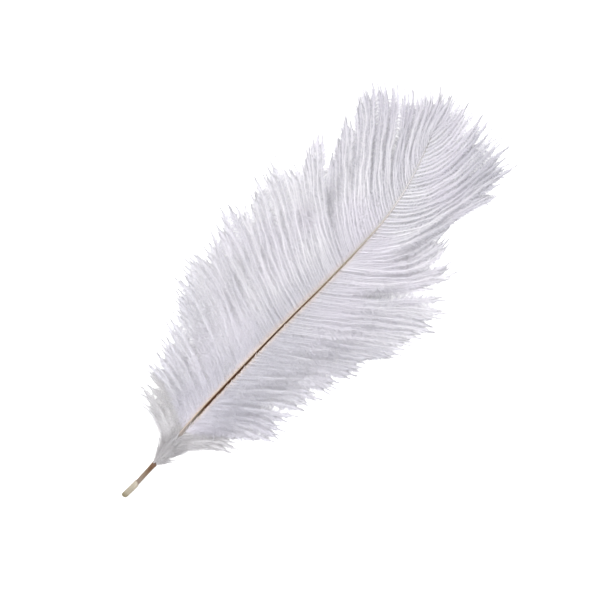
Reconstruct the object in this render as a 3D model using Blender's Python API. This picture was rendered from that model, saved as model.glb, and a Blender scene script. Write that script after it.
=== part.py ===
"""Ostrich feather: a soft white plume, 305 mm long, lying loose on a level surface.

Frame: metres, +X from the quill's end to the tip, +Y to the left of that, +Z up.
The feather lies on z = 0 and the origin is below the middle of its box.
Lengths below are in millimetres: s runs along the feather from the quill's end, t across it,
positive to the left.

shaft       quill and rachis grown as one, with the rachis's groove turned up
left_vane   the barbs on the +Y side, as one arched sheet that reaches their tips
right_vane  the barbs on the -Y side
base_down   the soft down that wraps over the shaft above the bare quill
"""
import math

import bmesh
import bpy
import numpy as np

MM = 0.001
GAP = 0.4                      # clear space between neighbouring pieces

# The shaft's centre line: along, across, height of the centre, half width.
SHAFT_LINE = np.array([
    (0.0, 0.4, 1.90, 1.87),
    (11.0, -1.1, 1.92, 1.87),
    (12.2, -1.2, 1.94, 1.42),
    (28.0, -2.5, 2.70, 1.55),
    (50.0, -3.9, 4.20, 1.60),
    (70.0, -5.2, 5.20, 1.58),
    (95.0, -7.7, 5.90, 1.48),
    (120.0, -10.2, 6.20, 1.36),
    (145.0, -13.3, 6.10, 1.22),
    (170.0, -16.6, 5.70, 1.06),
    (200.0, -19.6, 4.90, 0.84),
    (222.0, -20.8, 4.10, 0.68),
    (245.0, -19.4, 3.20, 0.52),
    (268.0, -15.0, 2.40, 0.38),
    (286.0, -10.2, 1.80, 0.25),
])
SHAFT_DEPTH = 1.08             # height of the rachis over its width
SHAFT_SIDES = 16
SHAFT_STEP = 7.5               # spacing of the rings along the rachis
SHEATH_EDGE = (11.0, 12.2)     # where the thicker sheath steps down to the shaft
GROOVE_REACH = (24.0, 60.0, 190.0, 262.0)   # the groove opens, is full, starts to close, has closed
GROOVE_WIDTH = 0.46            # half width of the groove over the shaft's half width
GROOVE_DEPTH = 0.42            # depth of the groove over the shaft's half width

# The quill's rounded end and the small pit in it: distance from the end, part of full radius.
QUILL_END = [(1.1, 0.16), (0.30, 0.24), (0.0, 0.50), (0.18, 0.76), (0.70, 0.93), (1.60, 1.0)]

# Guide barbs: root s, tip s, tip t, heading at the root and at the tip in degrees off +X.
LEFT_BARBS = np.array([
    (50.6, 46.6, 25.0, 92, 108),
    (53.0, 51.5, 31.0, 88, 98),
    (60.0, 69.0, 36.0, 75, 76),
    (67.0, 84.0, 36.5, 63, 68),
    (78.0, 101.0, 43.5, 56, 75),
    (90.0, 117.0, 50.0, 56, 78),
    (104.0, 135.0, 57.0, 60, 76),
    (112.0, 140.0, 47.0, 62, 72),
    (122.0, 150.0, 50.0, 65, 66),
    (131.0, 163.0, 57.0, 67, 68),
    (142.0, 176.0, 52.5, 69, 65),
    (148.0, 181.0, 46.0, 69, 61),
    (156.0, 195.0, 53.0, 69, 62),
    (167.0, 211.0, 50.5, 67, 64),
    (172.5, 219.0, 37.0, 66, 53),
    (180.0, 235.0, 42.0, 64, 42),
    (188.0, 243.5, 38.5, 62, 39),
    (193.0, 243.0, 28.0, 61, 36),
    (199.0, 254.0, 34.5, 60, 42),
    (206.0, 259.0, 27.5, 59, 45),
    (213.0, 272.0, 35.0, 59, 50),
    (221.0, 280.0, 30.0, 58, 48),
    (231.0, 286.0, 21.0, 57, 45),
    (242.0, 291.0, 12.0, 55, 44),
    (254.0, 296.0, 4.5, 51, 41),
    (265.0, 300.5, 0.0, 45, 36),
    (274.0, 303.5, -3.5, 35, 25),
    (281.0, 305.0, -7.4, 24, 8),
])
RIGHT_BARBS = np.array([
    (50.6, 57.5, -36.0, 86, 76),
    (55.0, 65.5, -35.0, 73, 70),
    (58.0, 70.0, -32.5, 66, 64),
    (62.0, 78.0, -46.5, 61, 68),
    (67.0, 82.5, -51.0, 58, 74),
    (75.0, 96.0, -49.0, 56, 66),
    (83.0, 110.5, -54.0, 56, 70),
    (93.0, 122.0, -57.0, 58, 72),
    (104.0, 134.0, -61.0, 60, 68),
    (114.0, 143.0, -64.5, 61, 65),
    (121.0, 151.0, -64.5, 62, 63),
    (128.0, 162.5, -78.0, 62, 66),
    (138.0, 177.0, -79.0, 63, 64),
    (150.0, 190.0, -84.0, 63, 64),
    (160.0, 203.0, -80.5, 62, 57),
    (168.0, 213.5, -80.5, 61, 48),
    (175.0, 226.0, -68.5, 60, 36),
    (180.0, 222.0, -60.5, 60, 32),
    (185.0, 238.5, -57.5, 60, 18),
    (191.0, 238.0, -54.5, 60, 24),
    (200.0, 274.5, -64.5, 62, 34),
    (208.0, 284.0, -60.0, 60, 28),
    (217.0, 293.0, -57.0, 58, 22),
    (228.0, 297.5, -51.0, 55, 15),
    (240.0, 300.5, -41.0, 51, 8),
    (252.0, 303.0, -30.0, 44, 3),
    (264.0, 304.0, -21.0, 34, 0),
    (275.0, 304.5, -14.5, 20, -3),
    (282.0, 305.0, -10.4, 8, -4),
])
BARB_PULL = 0.38               # how far each end's heading is kept, over the barb's length
BARB_STATIONS = 10             # points along a barb, root to tip
LIE_FLAT = 0.62                # part of a barb's length after which it lies on the surface
ARCH_RISE = 2.6                # how far a long barb bows up before it droops
ARCH_FULL_LENGTH = 60.0        # barb length at which the bow is full
VANE_AT_ROOT = 1.3             # vane thickness beside a full shaft
VANE_IN_MIDDLE = 2.5
VANE_AT_TIP = 0.7
VANE_FOLLOWS = 1.7             # most that the root's thickness may be, over the shaft's half width

# The down's outline: along, left edge, right edge.
DOWN_OUTLINE = np.array([
    (27.0, 1.0, -5.4),
    (30.0, 1.6, -7.8),
    (35.0, 2.2, -10.6),
    (40.0, 4.0, -12.6),
    (44.0, 8.0, -14.0),
    (47.0, 12.0, -15.2),
    (49.8, 13.0, -16.0),
])
DOWN_THICKNESS = 1.5
DOWN_AT_EDGE = 0.7
DOWN_ARCH_STEPS = 6            # steps over the shaft, side to side
DOWN_SKIRT_STEPS = 3           # steps from the shaft out to each edge


def smooth(x, knots, values):
    """Cubic Hermite curve through the knots, with the slopes of central differences."""
    slopes = np.gradient(values, knots)
    i = np.clip(np.searchsorted(knots, x) - 1, 0, len(knots) - 2)
    width = knots[i + 1] - knots[i]
    f = (x - knots[i]) / width
    h1 = f * f * (3 - 2 * f)
    rise = f * (1 - f) ** 2 * slopes[i] - f * f * (1 - f) * slopes[i + 1]
    return values[i] * (1 - h1) + values[i + 1] * h1 + rise * width


def shaft_at(s):
    """Across, height and half width of the shaft at the stations s."""
    across = smooth(s, SHAFT_LINE[:, 0], SHAFT_LINE[:, 1])
    height = smooth(s, SHAFT_LINE[:, 0], SHAFT_LINE[:, 2])
    half_width = np.interp(s, SHAFT_LINE[:, 0], SHAFT_LINE[:, 3])
    return across, height, half_width


def ramp(x, start, end):
    """0 before start, 1 after end, eased between."""
    f = np.clip((x - start) / (end - start), 0, 1)
    return f * f * (3 - 2 * f)


def barb_paths(barbs, side):
    """Plan paths of the guide barbs: Bezier curves from the shaft's side to the tips."""
    s = barbs[:, 0]
    across, _, half_width = shaft_at(s)
    root = np.stack([s, across + side * (half_width + GAP)], axis=1)
    tip = barbs[:, 1:3]
    leave, arrive = side * np.radians(barbs[:, 3:5]).T
    pull = BARB_PULL * np.linalg.norm(tip - root, axis=1)[:, None]
    bend_a = root + pull * np.stack([np.cos(leave), np.sin(leave)], axis=1)
    bend_b = tip - pull * np.stack([np.cos(arrive), np.sin(arrive)], axis=1)
    u = np.linspace(0, 1, BARB_STATIONS)[None, :, None]
    corners = [p[:, None, :] for p in (root, bend_a, bend_b, tip)]
    weights = ((1 - u) ** 3, 3 * u * (1 - u) ** 2, 3 * u * u * (1 - u), u ** 3)
    return sum(w * p for w, p in zip(weights, corners))


def vane_skins(barbs, side):
    """Lower and upper points of a vane: it bows up from the shaft, droops, then lies flat."""
    plan = barb_paths(barbs, side)
    _, height, half_width = shaft_at(barbs[:, 0])
    length = np.linalg.norm(plan[:, -1] - plan[:, 0], axis=1)
    u = np.linspace(0, 1, BARB_STATIONS)[None, :]
    w = np.clip(u / LIE_FLAT, 0, 1)
    at_root = np.minimum(VANE_AT_ROOT, VANE_FOLLOWS * half_width)[:, None]
    rise = ARCH_RISE * np.clip(length / ARCH_FULL_LENGTH, 0, 1)[:, None]
    low = (height[:, None] - at_root / 2) * (1 - w * w) + rise * np.sin(math.pi * w) * (1 - w)
    body = at_root + (VANE_IN_MIDDLE - at_root) * ramp(u, 0.0, 0.4)
    thickness = body + (VANE_AT_TIP - body) * ramp(u, 0.6, 1.0)
    lower = np.dstack([plan, low])
    upper = np.dstack([plan, low + thickness])
    return lower, upper


def down_skins():
    """Lower and upper points of the down: a saddle over the shaft with a skirt on each side."""
    s = DOWN_OUTLINE[:, 0]
    across, height, half_width = shaft_at(s)
    reach = half_width * SHAFT_DEPTH + GAP + 0.1
    rows = []
    for i, (along, left, right) in enumerate(DOWN_OUTLINE):
        turn = np.linspace(math.pi, 0, DOWN_ARCH_STEPS + 1)
        arch_t = across[i] + reach[i] * np.cos(turn)
        arch_z = height[i] + reach[i] * np.sin(turn)
        out = np.linspace(1, 0, DOWN_SKIRT_STEPS, endpoint=False)
        right_t = arch_t[0] + (right - arch_t[0]) * out
        left_t = arch_t[-1] + (left - arch_t[-1]) * out
        t = np.concatenate([right_t, arch_t, left_t[::-1]])
        z = np.concatenate([arch_z[0] * (1 - out), arch_z, (arch_z[-1] * (1 - out))[::-1]])
        rows.append(np.stack([np.full_like(t, along), t, z], axis=1))
    lower = np.array(rows)
    columns = lower.shape[1]
    inward = 1 - np.abs(np.linspace(-1, 1, columns)) ** 2
    thickness = DOWN_AT_EDGE + (DOWN_THICKNESS - DOWN_AT_EDGE) * inward
    upper = lower.copy()
    upper[:, :, 2] += thickness[None, :]
    return lower, upper


def shaft_rings():
    """Rings of points round the shaft, from the pit in the quill's end to the tip."""
    end_s = [distance for distance, _ in QUILL_END]
    rachis_start = SHEATH_EDGE[1]
    rachis_end = SHAFT_LINE[-1, 0]
    count = round((rachis_end - rachis_start) / SHAFT_STEP)
    rachis = np.linspace(rachis_start, rachis_end, count + 1)
    s = np.concatenate([end_s, [SHEATH_EDGE[0] / 2, SHEATH_EDGE[0]], rachis])
    part = np.ones(len(s))
    part[:len(QUILL_END)] = [radius for _, radius in QUILL_END]
    across, height, half_width = shaft_at(s)
    half_width = (half_width * part)[:, None]
    turn = (2 * math.pi * np.arange(SHAFT_SIDES) / SHAFT_SIDES)[None, :]
    opening = ramp(s, *GROOVE_REACH[:2]) * (1 - ramp(s, *GROOVE_REACH[2:]))
    depth = 1 + (SHAFT_DEPTH - 1) * ramp(s, rachis_start, GROOVE_REACH[1])
    side = np.cos(turn)
    groove = np.exp(-(side / GROOVE_WIDTH) ** 4) * (np.sin(turn) > 0)
    t = across[:, None] + half_width * side
    z = height[:, None] + half_width * (depth[:, None] * np.sin(turn)
                                        - GROOVE_DEPTH * opening[:, None] * groove)
    return np.dstack([np.broadcast_to(s[:, None], t.shape), t, z])


def place(bm, verts, layer, grid):
    """Move each vertex to the grid point whose number it carries."""
    points = grid.reshape(-1, 3) * MM
    for vert in verts:
        vert.co = points[vert[layer]]


def make_object(name, bm, material):
    """Turn a bmesh into an object with outward faces, smooth shading and its material."""
    bmesh.ops.recalc_face_normals(bm, faces=bm.faces)
    mesh = bpy.data.meshes.new(name)
    bm.to_mesh(mesh)
    bm.free()
    mesh.shade_smooth()
    mesh.set_sharp_from_angle(angle=math.radians(40))
    mesh.materials.append(material)
    piece = bpy.data.objects.new(name, mesh)
    bpy.context.scene.collection.objects.link(piece)
    return piece


def sheet_between(name, lower, upper, material):
    """A closed sheet: a grid laid on the lower points and extruded up to the upper ones."""
    rows, columns = lower.shape[:2]
    bm = bmesh.new()
    bmesh.ops.create_grid(bm, x_segments=columns - 1, y_segments=rows - 1, size=1.0)
    spot = bm.verts.layers.int.new("spot")
    bm.verts.ensure_lookup_table()
    for number, vert in enumerate(bm.verts):
        vert[spot] = number
    place(bm, bm.verts, spot, lower)
    raised = bmesh.ops.extrude_face_region(bm, geom=bm.faces[:])["geom"]
    place(bm, [v for v in raised if isinstance(v, bmesh.types.BMVert)], spot, upper)
    return make_object(name, bm, material)


def tube_through(name, rings, material):
    """A closed tube: one circle extruded from ring to ring, with both ends filled."""
    count, sides = rings.shape[:2]
    bm = bmesh.new()
    bmesh.ops.create_circle(bm, segments=sides, radius=1.0, cap_ends=False)
    spot = bm.verts.layers.int.new("spot")
    bm.verts.ensure_lookup_table()
    for number, vert in enumerate(bm.verts):
        vert[spot] = number
    place(bm, bm.verts, spot, rings[0])
    first = bm.edges[:]
    edges = first
    for ring in rings[1:]:
        made = bmesh.ops.extrude_edge_only(bm, edges=edges)["geom"]
        place(bm, [v for v in made if isinstance(v, bmesh.types.BMVert)], spot, ring)
        edges = [e for e in made if isinstance(e, bmesh.types.BMEdge)
                 and all(v in made for v in e.verts)]
    for loop in (first, edges):
        bmesh.ops.contextual_create(bm, geom=loop)
    return make_object(name, bm, material)


def material(name, colour, roughness):
    """A Principled material of one colour."""
    made = bpy.data.materials.new(name)
    made.use_nodes = True
    shader = made.node_tree.nodes["Principled BSDF"]
    shader.inputs["Base Color"].default_value = (*colour, 1.0)
    shader.inputs["Roughness"].default_value = roughness
    shader.inputs["Metallic"].default_value = 0.0
    return made


def main():
    for old in list(bpy.data.objects):
        bpy.data.objects.remove(old, do_unlink=True)
    horn = material("shaft_horn", (0.42, 0.30, 0.20), 0.45)
    barb_white = material("barb_white", (0.70, 0.69, 0.72), 0.85)
    down_white = material("down_white", (0.60, 0.59, 0.62), 0.95)

    shaft = shaft_rings()
    left = vane_skins(LEFT_BARBS, +1)
    right = vane_skins(RIGHT_BARBS, -1)
    down = down_skins()
    everything = np.concatenate([grid.reshape(-1, 3) for grid in (shaft, *left, *right, *down)])
    low, high = everything.min(axis=0), everything.max(axis=0)
    origin = np.array([(low[0] + high[0]) / 2, (low[1] + high[1]) / 2, low[2]])

    tube_through("shaft", shaft - origin, horn)
    sheet_between("left_vane", *(skin - origin for skin in left), barb_white)
    sheet_between("right_vane", *(skin - origin for skin in right), barb_white)
    sheet_between("base_down", *(skin - origin for skin in down), down_white)


main()
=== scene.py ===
"""An ostrich plume on a pale table: barbs with their barbules, soft down and a grooved shaft.

Lengths are in millimetres until a mesh is made: s runs from the quill's end to the tip, t across,
positive to the left, z up from the table. The frame's boxes say where s = 0 and t = 0 are.
An ease is (start, end, value before it, value after it), and an eased value slides between them.
"""

import math

import bpy
import numpy as np
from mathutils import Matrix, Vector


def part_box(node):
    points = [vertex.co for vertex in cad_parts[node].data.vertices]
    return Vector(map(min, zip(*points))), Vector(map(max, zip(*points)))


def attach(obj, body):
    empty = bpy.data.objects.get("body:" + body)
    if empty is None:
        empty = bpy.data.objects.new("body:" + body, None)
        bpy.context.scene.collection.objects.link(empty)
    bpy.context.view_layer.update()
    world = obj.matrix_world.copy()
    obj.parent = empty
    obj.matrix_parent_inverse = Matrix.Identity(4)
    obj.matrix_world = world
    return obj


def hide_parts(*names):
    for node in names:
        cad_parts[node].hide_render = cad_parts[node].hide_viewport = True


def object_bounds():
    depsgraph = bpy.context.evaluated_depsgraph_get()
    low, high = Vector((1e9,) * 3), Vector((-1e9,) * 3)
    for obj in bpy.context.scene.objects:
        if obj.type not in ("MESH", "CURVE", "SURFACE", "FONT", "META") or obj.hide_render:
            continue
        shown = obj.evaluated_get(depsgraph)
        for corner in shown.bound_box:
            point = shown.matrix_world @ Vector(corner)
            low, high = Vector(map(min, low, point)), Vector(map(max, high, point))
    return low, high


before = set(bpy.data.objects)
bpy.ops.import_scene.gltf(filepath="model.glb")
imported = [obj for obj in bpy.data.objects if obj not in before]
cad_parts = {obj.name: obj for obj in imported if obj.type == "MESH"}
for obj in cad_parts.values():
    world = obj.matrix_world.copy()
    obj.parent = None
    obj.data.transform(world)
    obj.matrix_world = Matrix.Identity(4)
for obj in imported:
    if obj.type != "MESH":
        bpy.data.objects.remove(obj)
cad_low, cad_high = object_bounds()

MM = 0.001
SEED = 41
RANDOM = np.random.default_rng(SEED)

# ---- the shaft's dimensions ----

# The shaft's centre line: along, across, height of the centre, half width.
SHAFT_LINE = np.array([
    (0.0, 0.4, 1.90, 1.87),
    (11.0, -1.1, 1.92, 1.60),
    (12.2, -1.2, 1.94, 1.42),
    (28.0, -2.5, 2.70, 1.55),
    (50.0, -3.9, 4.20, 1.60),
    (70.0, -5.2, 5.20, 1.58),
    (95.0, -7.6, 5.90, 1.48),
    (120.0, -10.05, 6.20, 1.36),
    (145.0, -13.0, 6.10, 1.22),
    (170.0, -16.3, 5.70, 1.06),
    (200.0, -19.45, 4.90, 0.84),
    (222.0, -20.8, 4.10, 0.68),
    (245.0, -19.4, 3.20, 0.52),
    (268.0, -15.0, 2.40, 0.38),
    (286.0, -10.2, 1.80, 0.16),
])
SHAFT_DEPTH = 1.08             # height of the rachis over its width
SHAFT_RINGS = 300
SHAFT_SIDES = 48
SHEATH_RADIUS = 1.87           # the quill's sheath, and the quill inside it
QUILL_RADIUS = 1.42
SHEATH_EDGE = 11.6             # the sheath ends here, in a ragged lip
LIP_BACK = 0.2                 # the lip's mean place before the edge
LIP_HALF = 0.22                # half the length over which the lip steps down
LIP_RAGGED = [(0.9, 1, math.pi / 2 - 0.3), (0.16, 5, 0.0), (0.1, 11, 0.0)]  # size, waves, start
FLAKES = 0.03                  # height of the sheath's flakes, and their waves round and per mm
FLAKE_WAVES = [(7, 0.9), (3, 1.7)]
RIDGES = [(0.012, 17, 0.0), (0.008, 31, 1.0)]  # of the radius: fine ridges along the rachis
RIDGES_START = (14.0, 30.0)
GROOVE_REACH = (24.0, 60.0, 190.0, 262.0)  # it opens, is full, starts to close, has closed
GROOVE_WIDTH = (92.0, 128.0, 0.66, 0.54)   # ease of its half width over the shaft's
GROOVE_MIDDLE = -0.1           # its place across the shaft, over the half width
GROOVE_DEPTH = 0.6             # over the half width
GROOVE_COLOUR_START = (14.0, 26.0)

# The quill's rounded end with the pit in it: distance from the end, part of the full radius.
QUILL_END = np.array([
    (1.1, 0.05),
    (0.75, 0.14),
    (0.38, 0.2),
    (0.12, 0.3),
    (0.0, 0.42),
    (0.02, 0.55),
    (0.14, 0.70),
    (0.36, 0.82),
    (0.72, 0.92),
    (1.15, 0.975),
    (1.7, 1.0),
])
# Rings along the quill: first, last and number. They stand closer at the lip.
QUILL_RINGS = [(2.2, 10.4, 14), (10.7, 13.2, 22)]
RACHIS_START = 13.6

# ---- the barbs' dimensions ----

# Guide barbs: root s, tip s, tip t, heading at the root and at the tip in degrees off +X.
LEFT_BARBS = np.array([
    (30.5, 47.0, 23.5, 4, 106),
    (36.0, 52.0, 29.5, 22, 100),
    (42.0, 57.0, 32.0, 40, 80),
    (47.0, 61.0, 31.0, 45, 95),
    (55.0, 70.0, 36.5, 50, 90),
    (64.0, 84.0, 36.5, 50, 65),
    (78.0, 100.5, 44.0, 52, 75),
    (81.5, 103.0, 42.0, 53, 80),
    (83.5, 108.5, 46.5, 54, 76),
    (90.0, 117.0, 53.0, 55, 80),
    (96.0, 124.0, 51.5, 57, 74),
    (103.0, 132.5, 57.0, 60, 90),
    (105.0, 135.0, 57.0, 60, 90),
    (109.0, 137.0, 49.5, 62, 80),
    (112.0, 139.5, 46.0, 62, 78),
    (116.0, 145.5, 51.0, 63, 72),
    (121.0, 152.0, 51.5, 65, 62),
    (131.0, 164.0, 57.0, 68, 66),
    (140.5, 176.0, 54.0, 70, 65),
    (143.5, 179.0, 50.0, 70, 58),
    (146.0, 180.5, 45.0, 70, 55),
    (154.0, 195.0, 53.5, 70, 60),
    (159.5, 202.0, 51.0, 69, 62),
    (164.5, 209.0, 52.5, 67, 68),
    (167.0, 211.5, 49.5, 66, 66),
    (170.0, 213.0, 45.0, 66, 58),
    (174.0, 216.0, 38.5, 65, 50),
    (176.5, 220.0, 35.5, 64, 46),
    (179.5, 230.0, 43.5, 64, 44),
    (182.5, 236.0, 42.0, 64, 40),
    (185.5, 241.0, 38.0, 62, 38),
    (187.5, 230.5, 25.0, 62, 28),
    (190.0, 236.0, 27.0, 61, 32),
    (196.0, 252.5, 34.5, 60, 42),
    (209.0, 275.0, 36.0, 59, 50),
    (219.0, 283.0, 32.5, 58, 48),
    (229.0, 288.0, 24.5, 57, 45),
    (240.0, 293.0, 15.5, 55, 45),
    (252.0, 298.5, 7.5, 52, 42),
    (263.0, 303.0, 2.0, 48, 38),
    (273.0, 306.0, -2.5, 40, 30),
    (281.0, 306.5, -8.0, 25, 12),
])
RIGHT_BARBS = np.array([
    (26.5, 33.5, -13.5, 25, 62),
    (29.0, 43.0, -13.0, 14, 32),
    (34.0, 51.0, -16.0, 12, 45),
    (39.0, 58.0, -36.0, 30, 78),
    (47.0, 65.5, -35.0, 40, 70),
    (53.0, 70.0, -32.0, 45, 55),
    (57.0, 78.0, -46.5, 45, 65),
    (62.0, 81.0, -51.0, 48, 82),
    (72.0, 96.0, -49.0, 52, 65),
    (82.0, 110.5, -54.0, 55, 75),
    (93.0, 122.0, -57.0, 58, 80),
    (104.0, 134.0, -61.0, 60, 68),
    (114.0, 143.0, -64.5, 61, 65),
    (122.0, 152.0, -63.0, 62, 58),
    (128.0, 162.5, -78.0, 62, 66),
    (138.0, 177.0, -79.0, 63, 62),
    (150.0, 190.0, -84.0, 63, 68),
    (159.0, 201.0, -81.5, 62, 60),
    (161.6, 208.0, -81.0, 62, 48),
    (164.0, 214.0, -81.3, 62, 38),
    (165.0, 206.5, -67.0, 61, 45),
    (169.0, 213.0, -69.0, 61, 40),
    (173.5, 219.0, -69.0, 60, 36),
    (176.5, 227.0, -71.2, 60, 30),
    (179.0, 222.0, -66.5, 60, 28),
    (181.5, 228.5, -65.8, 60, 18),
    (182.5, 216.0, -56.5, 60, 14),
    (184.5, 225.0, -56.3, 61, 4),
    (187.0, 239.0, -56.2, 62, 0),
    (189.0, 230.0, -51.5, 60, 4),
    (191.5, 240.0, -51.5, 60, 10),
    (195.0, 252.0, -53.5, 60, 22),
    (198.5, 264.0, -57.0, 60, 32),
    (201.5, 275.0, -64.0, 60, 38),
    (207.0, 285.0, -61.0, 62, 30),
    (217.0, 294.5, -59.0, 60, 25),
    (228.0, 299.5, -53.0, 58, 15),
    (240.0, 304.0, -43.0, 52, 8),
    (252.0, 306.5, -32.0, 45, 2),
    (264.0, 307.5, -22.5, 35, 0),
    (275.0, 307.0, -15.0, 20, -5),
    (282.0, 307.0, -9.0, 8, -5),
])
BARBS_PER_SIDE = 132
BARB_STATIONS = 26
LOCK_SIZES = (1, 1, 1, 2, 2)   # how many neighbouring barbs draw together
ROOT_OUT = 0.72                # barbs leave the shaft this far out from its middle and up from
ROOT_UP = 0.55                 # its centre line, over its half width
ROOT_WANDER = 0.3
FAN_CLOSER = 0.6               # how much closer barbs stand where their tips fan out
LEAP = 6.0                     # tips this many times as far apart as their roots leave a gap,
LEAP_SHARE = 0.4               # which has this share of the barbs
LOCK_DRAW = 0.25               # share of the way that a barb's tip is drawn to its lock's
TIP_WANDER = (0.6, 0.9)        # of a lock's tips together, and of each
# Share of the length that a lock, and each of its barbs, loses: mean, spread, least, most.
LOCK_SHORTER = (-0.01, 0.02, -0.02, 0.04)
BARB_SHORTER = (-0.005, 0.045, -0.045, 0.11)
LEAVE_WANDER = 3.0             # degrees, at the root
ARRIVE_WANDER = (3.0, 4.0)     # degrees at the tip, of a lock and of each barb
CALMER = (200.0, 235.0, 1.0, 0.5)          # ease of that wander along the feather

BARB_PULL = 0.38               # reach of the Bezier handles over the barb's length
WAVE_LENGTH = (18, 34)
WAVE_SIZE = 0.35
WAVE_WANDER = 0.8              # how far its phase differs within a lock, in radians
WAVE_START = 0.3               # the wave has its full size from this share of the barb on
LIE_FLAT = 0.62                # the barb lies on the table from this share of it on
LIE_HEIGHT = 0.9
ARCH_RISE = 1.9                # height of the bow of a barb of the full length below
ARCH_FULL_LENGTH = 60.0
ARCH_LOWER = (200.0, 255.0, 1.0, 0.25)     # ease of the bow along the feather
LOCK_LIFT = 0.35               # most that a lock's middle lifts, and how far its barbs differ
BARB_LIFT = 0.2
TIP_LIFT = 0.8                 # most that a tip lifts, and the droop of all outer parts,
OUTER_DROOP = 0.5
OUTER_PART = (0.6, 1.0)        # which grows between these shares of the barb
LOWEST_BARB = 0.25
RIBS_SHOW = (85.0, 190.0)      # between these the ribs come to stand clear of the fluff
LIFT_SHOWS = (*RIBS_SHOW, 0.35, 1.0)
RIB_LIFT = 0.45
RIB_THICK = {"vane": 0.24, "down": 0.16, "fluff": 0.05}
RIB_TAPER = 0.6                # share of the thickness lost at the tip

# The fluff over the shaft above the quill.
FLUFF_BARBS = 80
FLUFF_START, FLUFF_REACH = 26.5, 19.0      # roots
FLUFF_ROOT_OUT = 0.8           # the roots lie up to this far from the middle, over the half width
FLUFF_TURN = (2, 34)           # degrees off the shaft
FLUFF_HEADING = (0.5, 1.5)     # headings at the root and at the tip, over the turn
FLUFF_LENGTH = (9, 17)
FLUFF_SHORTER = 0.55           # share of the length lost by the last barb
FLUFF_OVER = (0.2, 0.6)        # how far they bow over the shaft's top
FLUFF_FALL = 0.2               # share of the height lost along a barb
FLUFF_CLEAR = 0.1

# ---- the barbules' dimensions ----

# Sets of barbules: the number per mm of barb, their length and width in mm, their angle to the
# barb in its full part and at its tip and how far that varies, their tilt up and its scatter, all
# in degrees, and the share of their length that they keep at the barb's tip.
VANE_FINE = {
    "per_mm": 9.5, "longest": 4.4, "wide": 0.16, "angle": 52, "tip_angle": 26, "vary": 22,
    "tilt_up": -6, "tilt_vary": 15, "kept": 0.34,
}
VANE_UNDER = {
    "per_mm": 1.2, "longest": 6.5, "wide": 0.50, "angle": 56, "tip_angle": 20, "vary": 20,
    "tilt_up": -14, "tilt_vary": 6, "kept": 0.12,
}
DOWN_FINE = {
    "per_mm": 10.5, "longest": 4.0, "wide": 0.15, "angle": 46, "tip_angle": 26, "vary": 22,
    "tilt_up": -4, "tilt_vary": 16, "kept": 0.36,
}
DOWN_UNDER = {
    "per_mm": 1.3, "longest": 5.0, "wide": 0.45, "angle": 50, "tip_angle": 20, "vary": 18,
    "tilt_up": -12, "tilt_vary": 6, "kept": 0.12,
}
FEWEST = 8                     # barbules on a barb
CROWDED_TIP = 9.0              # over this much of a barb's tip they stand twice as close
FREE_TIP = (4.0, 11.5)         # nearer the tip than this they are short, beyond it full
FREER = (205.0, 240.0, 1.0, 0.8)           # ease of that distance along the feather
FOOT_SIZE = ([0, 0.12, 1.0], [0.75, 1.0, 1.0])  # of the length, by the share of the barb
TIP_SIZE = (0.0, 4.0, 0.4, 1.0)            # ease of the length, by the distance from the tip
HIGH_SIZE = (185.0, 250.0, 1.0, 0.65)      # eases of the length along the feather
LOW_SIZE = (25.0, 38.0, 0.5, 1.0)
MEAN_SIZE = 0.9
TIP_VARY = 0.3                 # share of the angle's variation left at the barb's tip
FLUFFY_TILT = 5                # degrees more tilt where no ribs show
NEEDLE_DEPTH = 0.6             # of half the width
NEEDLE_WIDTHS = (0.8, 1.2)
LOWEST_NEEDLE = 0.04
# Barbules cling in tufts. What a tuft shares, and what each adds to that.
TUFT_LENGTH = 1.3
TUFT_SHIFT = 0.37              # from barb to barb, in tufts
TUFTS_PER_BARB = 211           # step in the shared values from one barb to the next
TUFT_VALUES = 9973             # sets of shared values, which come round again after so many
SHARED_TURN, OWN_TURN = 0.5, 0.7
SHARED_TILT, OWN_TILT = 0.7, 0.6
SHARED_SIZE, OWN_SIZE = 0.25, 0.22
SHARED_TONE, OWN_TONE = 0.35, 0.15

# ---- tones ----

# Painted shade over the feather, darker by the shaft, at the base and on the right vane where the
# fibres lie thick and overlap, lighter where negative:
# along, then at the left edge, by the shaft and at the right edge.
PAINTED_SHADE_TABLE = np.array([
    (27, 0.6, 2.2, 0.9),
    (38, 0.6, 2.1, 0.8),
    (46, -0.1, 1.9, 0.2),
    (54, 0.1, 1.9, 0.1),
    (60, 0.3, 2.2, 0.2),
    (68, 0.3, 1.4, 0.4),
    (80, 0.35, 1.1, 0.8),
    (95, 0.3, 0.85, 0.5),
    (120, 0.2, 0.7, 0.45),
    (150, 0.0, 0.45, 0.4),
    (180, 0.0, 0.3, 0.2),
    (210, -0.15, 0.1, -0.1),
    (240, 0.0, 0.15, 0.2),
    (265, 0.2, 0.2, 0.5),
    (282, 0.8, 0.15, 0.9),
])
PAINTED_SHADE_LEFT = (6.0, 24.0)        # out from the shaft, from the painted shade by it to the edge's
PAINTED_SHADE_RIGHT = (10.0, 28.0)
PAINTED_SHADE_NARROW = (50.0, 70.0, 0.3, 1.0)       # ease of both distances along the feather
HORNY_ROOT = (0.4, 2.1)        # the foot of each barb takes the shaft's colour,
HORNY_FROM = (50.0, 68.0)      # along this much of the feather
HORNY_UNTIL = (150.0, 240.0)
DUSKY_TIP = (0.5, 8.0)         # the last of each barb is greyer
NEAR_SHAFT = (3.0, 16.0)
FLUFFY_RIB_SHADE = 0.45        # painted shade on ribs where they lie in the fluff and at their tips; where they stand clear they get a painted highlight
RIB_HIGHLIGHT_EASE = (*NEAR_SHAFT, 0.3, 1.0)
RIB_TIP_SHADE = 0.2
# painted shade on the under barbules, which lie beneath the others
UNDER_SHADE = 0.2
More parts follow.
